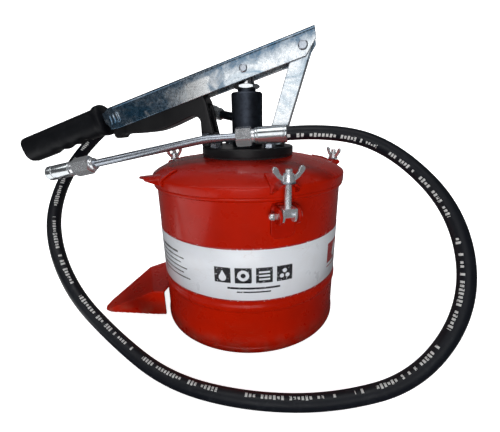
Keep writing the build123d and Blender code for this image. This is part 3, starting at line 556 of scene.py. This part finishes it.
def band_paint():
    """The printed band: pale ground, red borders and panels, droplets, pictograms and plain bars."""
    s = Shader("band_print")
    x, y, z = s.xyz()
    turn = s.times(s.math("ARCTAN2", y, x), 180 / pi)
    height = s.times(z, 1000.0)
    mm_per_degree = 1.7453

    def inside(value, low, high):
        return s.times(s.above(value, low), s.below(value, high))

    def block(a0, a1, z0, z1):
        return s.times(inside(turn, a0, a1), inside(height, z0, z1))

    def disc(a, zc, r):
        da = s.times(s.minus(turn, a), mm_per_degree)
        dz = s.minus(height, zc)
        far = s.math("SQRT", s.plus(s.times(da, da), s.times(dz, dz)))
        return s.below(far, r)

    def drop(a, zc, r):
        da = s.math("ABSOLUTE", s.times(s.minus(turn, a), mm_per_degree))
        up = s.minus(height, zc)
        cone = s.below(da, s.times(s.minus(2.1 * r, up), 0.52))
        cone = s.times(cone, s.above(up, 0.3 * r))
        return s.most(disc(a, zc, r), cone)

    def less(a, b):
        return s.times(a, s.minus(1.0, b))

    dark = []
    for k, a in enumerate((-92.5, -81.5, -70.5, -59.5)):
        square = block(a - 4.4, a + 4.4, 77.4, 92.8)
        if k == 0:
            hole = drop(a, 82.6, 3.6)
        elif k == 1:
            hole = less(disc(a, 85.1, 5.4), disc(a, 85.1, 2.3))
        elif k == 2:
            hole = s.most(*[block(a - 2.9, a + 2.9, 80.2 + 3.6 * n, 82.0 + 3.6 * n) for n in range(3)])
        else:
            hole = s.most(disc(a - 1.6, 82.6, 2.1), disc(a + 1.6, 82.6, 2.1), disc(a, 87.6, 2.1))
        dark.append(less(square, hole))
    dark.append(block(-90.0, -62.0, 71.2, 73.2))
    dark.append(block(-85.0, -67.0, 67.6, 69.0))
    for k in range(5):
        dark.append(block(-146.0, -113.0 - 4.0 * (k % 2) - k, 71.6 + 5.0 * k, 73.0 + 5.0 * k))
    dark.append(disc(-148.8, 97.4, 1.6))
    dark.append(block(-146.0, -122.0, 96.4, 98.6))
    red = [less(block(-26.0, -4.0, 76.0, 98.0), drop(-15.0, 84.2, 5.6)), block(-26.0, -4.0, 71.4, 72.8)]
    red.append(less(block(84.0, 118.0, 76.0, 98.0), drop(101.0, 84.2, 5.6)))
    red.append(inside(height, 50.0, 59.5))
    red.append(inside(height, 110.2, 120.0))
    soot = s.span(s.noise(34.0, 5.0, 0.6), 0.5, 0.8, 0.0, 0.3)
    ground = s.mix(soot, (0.80, 0.83, 0.88), (0.60, 0.57, 0.56))
    worn = s.above(s.noise(640.0, 2.0), 0.34)
    tint = s.mix(s.times(s.most(*dark), worn), ground, (0.018, 0.018, 0.022))
    tint = s.mix(s.times(s.most(*red), worn), tint, (0.36, 0.012, 0.012))
    lines = s.scratches(60.0, s.stretch(1.0, 1.0, 3.0, (0.4, 0.2, 0.7)), 0.008, 0.001)
    nicks = s.times(lines, s.span(s.noise(42.0, 2.0), 0.55, 0.62))
    tint = s.mix(s.times(nicks, 0.5), tint, (0.40, 0.24, 0.22))
    s.bump(s.noise(480.0, 2.0), 0.00003, 0.4)
    s.bump(s.noise(24.0, 2.0), 0.0003, 0.25)
    return s.done(tint, 0.0, s.span(s.noise(70.0, 4.0), 0.3, 0.7, 0.25, 0.40), 0.4, 0.08)


finish_mesh("printed_band", *turned([(100.02, 57.9), (100.25, 58.1), (100.25, 111.4), (100.02, 111.6)],
                                    200, closed=False), band_paint(), "pump", ["label_band"], smooth=60)
softened("step_pressing", ["foot_step"], RED, "pump", 0.8, 4, 0.35)
softened("ear_pressings", ["lid_ears"], RED_SMALL, "pump", 0.5, 4, 0.35)
softened("tab_pressing", ["lid_tab"], RED_SMALL, "pump", 0.5, 4, 0.4)
softened("lug_pressings", ["clamp_lugs"], RED_SMALL, "pump", 0.5, 4, 0.35)

# ------------------------------------------------------------------ clamps
pins = []
for number, angle in enumerate(CLAMP_ANGLES, start=1):
    outward = Vector((cos(radians(angle)), sin(radians(angle)), 0))
    foot = outward * CLAMP_RADIUS + Vector((0, 0, CLAMP_PIVOT_Z))
    bolt = f"swing_bolt_{number}"
    washer = f"clamp_washer_{number}"
    nut = f"wing_nut_{number}"
    screw = thread(3.0, 4.4, 37.6, 1.0, Matrix.Translation(foot))
    head = turned(rounded([(0, 2.7), (3.9, 2.7), (3.9, 4.4), (0, 4.4)], 0.4, 3, False), 32,
                  Matrix.Translation(foot), closed=False)
    stirrup = cut_off(cad_copy(bolt), (0, 0, 150.45), (0, 0, 1))
    softened(f"stirrup_bolt_{number}", [bolt], ZINC_CAST, bolt, 0.3, 3, 0.4, stirrup, joined(head, screw))
    finish_mesh(f"seat_washer_{number}", *turned(rounded(
        [(3.2, 170.35), (6, 170.35), (6, 171.35), (3.2, 171.35)], 0.25), 48,
        Matrix.Translation((foot.x, foot.y, 0))), ZINC_DULL, washer, [washer], smooth=50)
    softened(f"wing_nut_cast_{number}", [nut], ZINC_CAST, nut, 0.28, 4, 0.4)
    pins.append(turned(rounded([(0, -12), (3.2, -12), (3.2, -10.4), (2.5, -10.4), (2.5, 11.0), (3.0, 12.2),
                                (3.0, 14.6), (1.6, 16.2), (0, 16.4)], 0.7, 3, False), 36,
                       placed(foot, (outward.y, -outward.x, 0)), closed=False))
finish_mesh("clamp_pivot_pins", *joined(*pins), ZINC_CAST, "pump", ["clamp_pins"], smooth=50)

# ------------------------------------------------------------------ pump head
softened("flange_casting", ["pump_flange"], BLACK_CAST, "pump", 0.7, 6, 0.35)
softened("handle_casting", ["carry_handle"], BLACK_CAST, "pump", 0.7, 14, 0.35)
heads = []
nuts = []
for x in (-FLANGE_SCREW_XY, FLANGE_SCREW_XY):
    for y in (-FLANGE_SCREW_XY, FLANGE_SCREW_XY):
        spot = Matrix.Translation((x, y, 0))
        nuts.append(hexagon(10, 174.3, 179.3, 3.0, spot))
        turn = spot @ Matrix.Rotation(radians(20 + 13 * (x > y)), 4, "Z")
        heads.append(hexagon(10, 191.4, 195, matrix=turn, bottom=False))
        heads.append(turned(rounded([(0, 191), (5.6, 191), (5.6, 191.4), (0, 191.4)], 0.15, 3, False), 36,
                            turn, closed=False))
        heads.append(thread(3.0, 172, 191.2, 1.0, turn))
finish_mesh("flange_screws", *joined(*heads), ZINC_DULL, "pump", ["flange_bolts"], smooth=40)
finish_mesh("flange_lock_nuts", *joined(*nuts), ZINC_DULL, "pump", ["flange_nuts"], smooth=40)
heads = []
for y in (-16.5, 16.5):
    turn = Matrix.Translation((-42, y, 0)) @ Matrix.Rotation(radians(8), 4, "Z")
    heads.append(hexagon(8, 201, 204.6, matrix=turn, bottom=False))
    heads.append(thread(2.5, 183, 201.2, 0.8, turn))
finish_mesh("handle_screws", *joined(*heads), ZINC_DULL, "pump", ["handle_bolts"], smooth=40)

finish_mesh("cylinder_turned", *turned(rounded([
    (12, 186), (16.5, 186), (16.5, 243.3), (15.0, 245), (10.5, 245), (10.5, 236), (8.4, 236), (8.4, 233),
    (12, 230)], 0.4), 96), DARK_STEEL, "pump", ["pump_cylinder"], smooth=35)
finish_mesh("gland_ring", *turned(rounded([
    (8.06, 240), (10.5, 240), (10.5, 245), (9.5, 245.3), (9.5, 248), (8.06, 248)], 0.3), 72),
    DARK_STEEL, "pump", ["gland_bush"], smooth=35)
finish_mesh("gland_hexagon", *hexagon(24, 248, 252.6, 8.4, Matrix.Rotation(radians(38), 4, "Z")),
            ZINC, "pump", ["gland_nut"], smooth=40)


def oblong(centre, half_straight, radius):
    """A flat-sided oval in the XZ plane, as a list of (x, z)."""
    count = 24
    out = []
    for i in range(count):
        a = 2 * pi * (i + 0.5) / count
        shift = half_straight if cos(a) > 0 else -half_straight
        out.append((centre[0] + shift + radius * cos(a), centre[1] + radius * sin(a)))
    return out


def ring_prism(outer, inner, y0, y1):
    """A plate across Y with a hole, from two outlines with the same number of points."""
    n = len(outer)
    verts = [(x, y, z) for y in (y0, y1) for loop in (outer, inner) for x, z in loop]
    faces = []
    for i in range(n):
        j = (i + 1) % n
        faces.append((i, j, n + j, n + i))
        faces.append((2 * n + i, 3 * n + i, 3 * n + j, 2 * n + j))
        faces.append((i, 2 * n + i, 2 * n + j, j))
        faces.append((n + i, n + j, 3 * n + j, 3 * n + i))
    return verts, faces


finish_mesh("polished_rod", *joined(
    turned(rounded([(0, 92), (8, 92), (8, 259.6), (7.0, 261.4), (0, 261.4)], 0.4, 3, False), 72,
           closed=False),
    ring_prism(oblong(ROD_EYE, 2.4, 7.0), oblong(ROD_EYE, 2.4, 4.0), -9.0, 9.0)),
    BRIGHT, "piston_rod", ["piston_rod"], bevel=0.5, smooth=35)
finish_mesh("piston_turned", *turned(rounded([
    (0, 88), (11.8, 88), (11.8, 90.5), (9.6, 90.5), (9.6, 94), (11.8, 94), (11.8, 98), (9.6, 98),
    (9.6, 101.5), (11.8, 101.5), (11.8, 104), (8, 104), (8, 92), (0, 92)], 0.3, 3, False), 72, closed=False),
    STEEL, "piston_rod", ["piston"], smooth=35)
dress("piston_seals", RUBBER)

# ------------------------------------------------------------------ lever, grip and link
ribs = []
for k in range(3):
    for side in (1, -1):
        place = Vector((-155.0 + 5.0 * k, side * (13.0 + 0.9 * k), 220.0 + 1.485 * k))
        ribs.append(turned(rounded([(0, -4.5), (1.7, -4.5), (1.7, 4.5), (0, 4.5)], 1.4, 4, False), 12,
                           placed(place, (-0.35, 0, 1)), closed=False))

channel = cut_off(cad_copy("lever"), (-171.0, 0, 220.2), (-cos(GRIP_TILT), 0, -sin(GRIP_TILT)))
softened("lever_channel", ["lever"], ZINC_SHEET, "lever", 0.5, 4, 0.3, joined(channel, *ribs))
softened("link_channel", ["link"], ZINC_SHEET, "link", 0.45, 4, 0.35)


def grip_shape():
    """Moulded grip: rounded section, flared collar, finger grooves below and a domed end."""
    axis = Vector((-cos(GRIP_TILT), 0, -sin(GRIP_TILT)))
    up = Vector((-sin(GRIP_TILT), 0, cos(GRIP_TILT)))
    start = Vector((-160, 0, 223.6))
    mouth = 9.2
    length = 126.6
    collar_end = 17
    flare_end = 21
    groove_half = 10
    dome_start = 129.5
    stations = 61
    around = 56
    verts = []
    for k in range(stations):
        d = mouth + k / (stations - 1) * length
        half_w, half_h = 13.4, 15.3
        if d < collar_end:
            half_w, half_h = 14.9, 17.4
        elif d < flare_end:
            f = (d - collar_end) / (flare_end - collar_end)
            half_w, half_h = 14.9 - 1.6 * f, 17.4 - 2.2 * f
        notch = 0.0
        for centre in (48, 68, 88):
            if abs(d - centre) < groove_half:
                notch = 2.3 * cos((d - centre) / groove_half * pi / 2)
        close = min(1.0, max(0.0, (d - dome_start) / 6.3))
        size = max(0.30, sqrt(1 - close ** 2.4)) * min(1.0, 0.86 + (d - mouth) * 0.2)
        for i in range(around):
            a = 2 * pi * i / around
            ca, sa = cos(a), sin(a)
            x = abs(ca) ** 0.72 * (1 if ca > 0 else -1) * half_w * size
            y = abs(sa) ** 0.72 * (1 if sa > 0 else -1) * half_h * size
            if sa < 0:
                y += notch * abs(sa) ** 1.5
            seam = 0.16 if abs(ca) < 0.03 else 0.0
            verts.append(start + axis * d + Vector((0, x, 0)) + up * (y + (seam if y > 0 else -seam)))
    return verts, tube_faces(stations, around)


finish_mesh("grip_moulding", *grip_shape(), GRIP_BLACK, "lever", ["grip"], smooth=50)


def cross_pin(name, centre, radius, wall, node, body):
    """Pin across the mechanism: low domed head in front, plain end behind."""
    place = placed((centre[0], 0, centre[1]), (0, -1, 0))
    profile = [(0, -wall - 2.6), (radius, -wall - 2.6), (radius, wall + 0.3), (radius + 0.5, wall + 0.3),
               (radius + 0.5, wall + 1.1), (radius - 0.4, wall + 1.65), (0, wall + 1.7)]
    finish_mesh(name, *turned(rounded(profile, 0.5, 3, False), 40, place, closed=False),
                ZINC_DULL, body, [node], smooth=45)


cross_pin("lever_cross_pin", LEVER_PIN, 4.0, 15.0, "lever_pin", "lever")
cross_pin("rod_cross_pin", ROD_PIN, 3.5, 15.0, "rod_pin", "lever")
cross_pin("link_cross_pin", LINK_PIN, 4.0, 12.0, "link_pin", "pump")


def snap_ring(centre, inner, outer, y):
    """Open ring of spring wire behind a pin."""
    gap = radians(56)
    thick = 1.2
    steps = 40
    verts = []
    for i in range(steps + 1):
        a = gap / 2 + (2 * pi - gap) * i / steps
        for r, d in ((inner, 0.0), (outer, 0.0), (outer, thick), (inner, thick)):
            verts.append((centre[0] + r * cos(a), y - d, centre[1] + r * sin(a)))
    return verts, tube_faces(steps + 1, 4)


finish_mesh("lever_snap_rings", *joined(snap_ring(LEVER_PIN, 4.0, 6.4, 16.6),
                                        snap_ring(ROD_PIN, 3.5, 5.8, 16.6)),
            ZINC_DULL, "lever", ["lever_pin_rings"], bevel=0.25)
finish_mesh("link_snap_ring", *snap_ring(LINK_PIN, 4.0, 6.4, 13.6), ZINC_DULL, "pump", ["link_pin_ring"],
            bevel=0.25)

# ------------------------------------------------------------------ inside the bucket
finish_mesh("barrel_tube", *turned(rounded([(12, 30), (15, 30), (15, 186), (12, 186)], 0.4), 72),
            STEEL, "pump", ["pump_barrel"], smooth=35)
finish_mesh("valve_seat_turned", *turned(rounded([
    (4, 22), (15, 22), (15, 30), (12, 30), (12, 36), (5.5, 36), (4, 34.5)], 0.3), 72), STEEL, "pump",
    ["foot_valve_seat"], smooth=35)
for node, material in (("foot_valve_ball", BRIGHT), ("suction_strainer", STEEL), ("lid_gasket", RUBBER),
                       ("flange_gasket", RUBBER), ("gland_packing", RUBBER)):
    dress(node, material)

# ------------------------------------------------------------------ outlet
at = placed(*OUTLET)
finish_mesh("outlet_stub", *turned(rounded([
    (1.8, 13.5), (4.6, 13.5), (4.6, 36.6), (4.1, 37.2), (4.1, 38), (1.8, 38)], 0.3), 48, at),
    DARK_STEEL, "pump", ["outlet_nipple"], smooth=40)
finish_mesh("outlet_hexagon", *hexagon(12, 38, 47, 1.8, at), ZINC, "pump", ["outlet_swivel_nut"], smooth=40)


def crimped(low, high, matrix):
    """Ferrule pressed onto the hose: stepped collar, smooth sleeve and a rolled mouth."""
    profile = [(0, low), (7.0, low), (7.9, low + 0.6), (7.9, low + 2.6), (8.3, low + 3.2), (8.4, high - 4.0),
               (8.2, high - 3.6), (8.2, high - 3.0), (8.5, high - 2.4), (8.5, high - 0.9), (7.9, high),
               (0, high)]
    return turned(rounded(profile, 0.35, 3, False), 64, matrix, closed=False)


finish_mesh("outlet_crimp", *crimped(47, 79, at), ZINC, "pump", ["outlet_ferrule"], smooth=35)

# ------------------------------------------------------------------ hose
route = [DELIVERY[0], DELIVERY[0] - DELIVERY[1] * 48.3]
route += [Vector(p) for p in (
    (147, -37, 188), (189, -70, 143), (196, -103, 81), (159, -131, 27), (95, -146, 7), (26, -157, 7),
    (-41, -150, 7), (-102, -128, 20), (-155, -116, 62), (-195, -85, 111), (-222, -31, 149), (-224, 25, 189),
    (-183, 53, 229))]
route += [OUTLET[0] + OUTLET[1] * 139.0, OUTLET[0] + OUTLET[1] * 79.0]


def hose_material():
    """Smooth black hose cover with a printed line of plain dashes, scuffs and a dull bloom."""
    s = Shader("hose_cover")
    along = s.add("ShaderNodeSeparateXYZ")
    s.put(along.inputs[0], s.add("ShaderNodeTexCoord").outputs["UV"])
    u, v = along.outputs[0], along.outputs[1]
    s.bump(s.noise(850.0, 3.0), 0.00004, 0.5)
    s.bump(s.noise(90.0, 3.0), 0.0002, 0.3)
    scuff = s.span(s.noise(160.0, 5.0, 0.7, distortion=0.8), 0.54, 0.7, 0.0, 0.5)
    tint = s.mix(scuff, (0.005, 0.006, 0.009), (0.018, 0.020, 0.024))
    dashes = 330.0  # places for a dash along the hose, some left empty
    lines = 11.0
    step = s.times(u, dashes)
    random = s.add("ShaderNodeTexWhiteNoise", noise_dimensions="1D")
    s.put(random.inputs["W"], s.math("FLOOR", step))
    chance = random.outputs["Value"]
    dash = s.times(s.below(s.math("FRACT", step), 0.62),
                  s.above(chance, 0.2))
    dash = s.times(dash, s.below(s.math("FRACT", s.times(u, lines)), 0.84))
    half = s.plus(0.018, s.times(chance, 0.03))
    line = s.below(s.math("ABSOLUTE", s.minus(v, 0.5)), half)
    worn = s.above(s.noise(700.0, 2.0), 0.36)
    mask = s.times(s.times(dash, line), worn)
    tint = s.mix(mask, tint, (0.60, 0.61, 0.60))
    return s.done(tint, 0.0, s.span(s.noise(70.0, 4.0), 0.3, 0.7, 0.33, 0.5), specular=0.3)


curve = bpy.data.curves.new("hose_line", "CURVE")
curve.dimensions = "3D"
spline = curve.splines.new("NURBS")
spline.points.add(len(route) - 1)
for point, place in zip(spline.points, route):
    point.co = (*(place * MM), 1.0)
spline.order_u = 3
spline.use_endpoint_u = True
curve.resolution_u = 20
curve.bevel_depth = HOSE_R * MM
curve.bevel_resolution = 8
curve.use_fill_caps = True
hose = added("oil_hose", curve)
curve.materials.append(hose_material())
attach(hose, "pump")
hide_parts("hose")

# ------------------------------------------------------------------ delivery end
at = placed(*DELIVERY)
ferrule = finish_mesh("delivery_crimp", *crimped(-31, 0, at @ Matrix.Rotation(pi, 4, "X")), ZINC, "pump",
                      ["delivery_ferrule"], smooth=35)
nipple = finish_mesh("delivery_hexagon", *joined(
    turned(rounded([(2, 31), (6.5, 31), (6.5, 34.4), (2, 34.4)], 0.4), 48, at),
    hexagon(17, 34, 49, 2, at @ Matrix.Rotation(0.35, 4, "Z"))), ZINC_CAST, "pump", ["delivery_nipple"],
    smooth=40)


def bent_pipe():
    """Plated steel pipe with one long gentle bend."""
    start = DELIVERY[0] + DELIVERY[1] * 49.0
    cut = PIPE_BEND_R * tan(DELIVERY[1].angle(PIPE_DIR) / 2)
    bend_in = PIPE_CORNER - DELIVERY[1] * cut
    bend_out = PIPE_CORNER + PIPE_DIR * cut
    line = [start, start.lerp(bend_in, 0.5)]
    for k in range(9):
        t = k / 8
        line.append(bend_in * (1 - t) ** 2 + PIPE_CORNER * 2 * t * (1 - t) + bend_out * t * t)
    line += [bend_out.lerp(COUPLER[0], t) for t in (0.25, 0.5, 0.75, 1.0)]
    verts = []
    around = 32
    for k, p in enumerate(line):
        ahead = (line[min(k + 1, len(line) - 1)] - line[max(k - 1, 0)]).normalized()
        side = ahead.cross(Vector((0, 0, 1))).normalized()
        up = side.cross(ahead)
        for i in range(around):
            a = 2 * pi * i / around
            verts.append(p + side * PIPE_R * cos(a) + up * PIPE_R * sin(a))
    return verts, tube_faces(len(line), around, False)


pipe = finish_mesh("delivery_tube", *bent_pipe(), ZINC_DULL, "pump", ["delivery_pipe"], smooth=50)
at = placed(*COUPLER)
nut = finish_mesh("coupler_hexagon", *joined(
    turned(rounded([(2, 0), (6.5, 0), (6.5, 4.4), (2, 4.4)], 0.5), 48, at),
    hexagon(17, 4, 23, 2, at @ Matrix.Rotation(0.1, 4, "Z")),
    turned(rounded([(2, 22.6), (7.2, 22.6), (7.2, 27), (2, 27)], 0.4), 48, at)), ZINC_CAST, "pump",
    ["coupler_nut"], smooth=40)
profile = [(2, 27), (6.6, 27), (7.75, 28), (7.75, 46), (7.45, 46.6), (7.45, 48.2), (7.75, 48.8),
           (7.75, 54.6), (6.9, 56), (5.6, 56), (5.6, 39), (2, 39)]
sleeve = finish_mesh("coupler_shell", *turned(rounded(profile, 0.3, 3), 72, at), ZINC, "pump",
                     ["coupler_sleeve"], smooth=35)
profile = [(3.3, 39), (5.55, 39), (5.55, 54.6), (4.3, 55.4), (3.3, 55.0)]
slices = 9
jaws = []
for k in range(4):
    verts = []
    for i in range(slices):
        a = radians(90 * k + 9 + 72 * i / (slices - 1))
        verts += [at @ Vector((r * cos(a), r * sin(a), z)) for r, z in profile]
    jaws.append((verts, tube_faces(slices, len(profile))))
grabs = finish_mesh("coupler_claws", *joined(*jaws), STEEL, "pump", ["coupler_jaws"], bevel=0.2, smooth=35)

# ------------------------------------------------------------------ floor, light and camera
def stage_material():
    """Paper sweep: white to the camera, dim in reflections."""
    s = Shader("studio_floor")
    seen = s.add("ShaderNodeLightPath").outputs["Is Camera Ray"]
    s.bump(s.noise(30.0, 3.0), 0.0002, 0.2)
    pale = s.mix(s.noise(6.0, 2.0), (0.80, 0.80, 0.81), (0.77, 0.77, 0.78))
    s.put(s.bsdf.inputs["Emission Color"], (1.0, 1.0, 1.0))
    s.put(s.bsdf.inputs["Emission Strength"], s.times(seen, 0.90))
    return s.done(s.mix(seen, (0.10, 0.10, 0.103), pale), 0.0, 0.7, specular=0.1)


SWEEP_START = 1.4
SWEEP_R = 0.9
floor_mesh = bpy.data.meshes.new("studio_floor")
profile = [(-3.0, 0.0), (SWEEP_START, 0.0)]
for k in range(1, 13):
    a = pi / 2 * k / 12
    profile.append((SWEEP_START + SWEEP_R * sin(a), SWEEP_R - SWEEP_R * cos(a)))
profile.append((SWEEP_START + SWEEP_R, 3.5))
floor_mesh.from_pydata([(x, y, z) for y, z in profile for x in (-4.0, 4.0)], [],
                       [(2 * k, 2 * k + 1, 2 * k + 3, 2 * k + 2) for k in range(len(profile) - 1)])
shade_smooth(floor_mesh)
floor_mesh.materials.append(stage_material())
floor = added("studio_floor", floor_mesh)
floor.rotation_euler = (0, 0, TURN)


def soft_light(name, place, target, size, power, tall=None, mirrored=True, spread=True):
    """A rectangular light; mirrored: seen in reflections, spread: lights matt surfaces."""
    light = bpy.data.lights.new(name, "AREA")
    light.shape = "RECTANGLE"
    light.size = size
    light.size_y = tall or size
    light.energy = power
    obj = added(name, light)
    obj.location = place
    obj.rotation_euler = (Vector(target) - Vector(place)).to_track_quat("-Z", "Y").to_euler()
    obj.visible_glossy = mirrored
    obj.visible_camera = False
    obj.visible_diffuse = spread


soft_light("key", (0.16, -1.05, 0.14), (0, 0, 0.16), 0.5, 9.8, 0.4, mirrored=False)
soft_light("card", (0.03, -1.0, 0.36), (0, 0, 0.22), 0.86, 2.1, 0.6, spread=False)
soft_light("overhead", (0.0, -0.38, 1.1), (0, -0.2, 0.1), 1.0, 3.4, 0.6, spread=False)
soft_light("bounce", (-0.48, -0.35, 0.004), (-0.48, -0.35, 1.0), 0.6, 1.3, 0.55, spread=False)
soft_light("side", (-0.9, -0.7, 0.9), (0, 0, 0.12), 0.4, 0.8)
soft_light("top", (0.1, 0.15, 1.3), (0, 0, 0.1), 0.9, 0.6, mirrored=False)
soft_light("wash", (-0.25, 1.15, 1.9), (-0.45, 2.2, 0.8), 2.6, 90.0, mirrored=False)

# The world is white to the camera and dim to everything else.
world = bpy.data.worlds.new("studio")
bpy.context.scene.world = world
world.use_nodes = True
sky = world.node_tree.nodes["Background"]
sky.inputs["Color"].default_value = (0.92, 0.95, 1.0, 1.0)
strength = world.node_tree.nodes.new("ShaderNodeMath")
strength.operation = "MULTIPLY_ADD"
strength.inputs[1].default_value = 0.94
strength.inputs[2].default_value = 0.06
seen = world.node_tree.nodes.new("ShaderNodeLightPath").outputs["Is Camera Ray"]
world.node_tree.links.new(seen, strength.inputs[0])
world.node_tree.links.new(strength.outputs[0], sky.inputs["Strength"])

SENSOR_MM = 36.0
FOCAL_PX = 297.54
WIDTH_PX = 500.0
CAMERA_BACK = 0.33636
CAMERA_HEIGHT = 0.21907
PITCH = 0.3171
YAW = 0.0038 - TURN
ROLL = -0.0166
camera_data = bpy.data.cameras.new("camera")
camera_data.sensor_width = SENSOR_MM
camera_data.lens = SENSOR_MM * FOCAL_PX / WIDTH_PX
camera = added("camera", camera_data)
ahead = Vector((sin(YAW) * cos(PITCH), cos(YAW) * cos(PITCH), -sin(PITCH)))
right = Vector((cos(YAW), -sin(YAW), 0))
up = right.cross(ahead)
across = right * cos(ROLL) + up * sin(ROLL)
upward = up * cos(ROLL) - right * sin(ROLL)
view = Matrix((across, upward, -ahead)).transposed().to_4x4()
view.translation = Vector((CAMERA_BACK * sin(TURN), -CAMERA_BACK * cos(TURN), CAMERA_HEIGHT))
camera.matrix_world = view
bpy.context.scene.camera = camera
bpy.context.scene.view_settings.view_transform = "Standard"
bpy.context.scene.view_settings.look = "None"
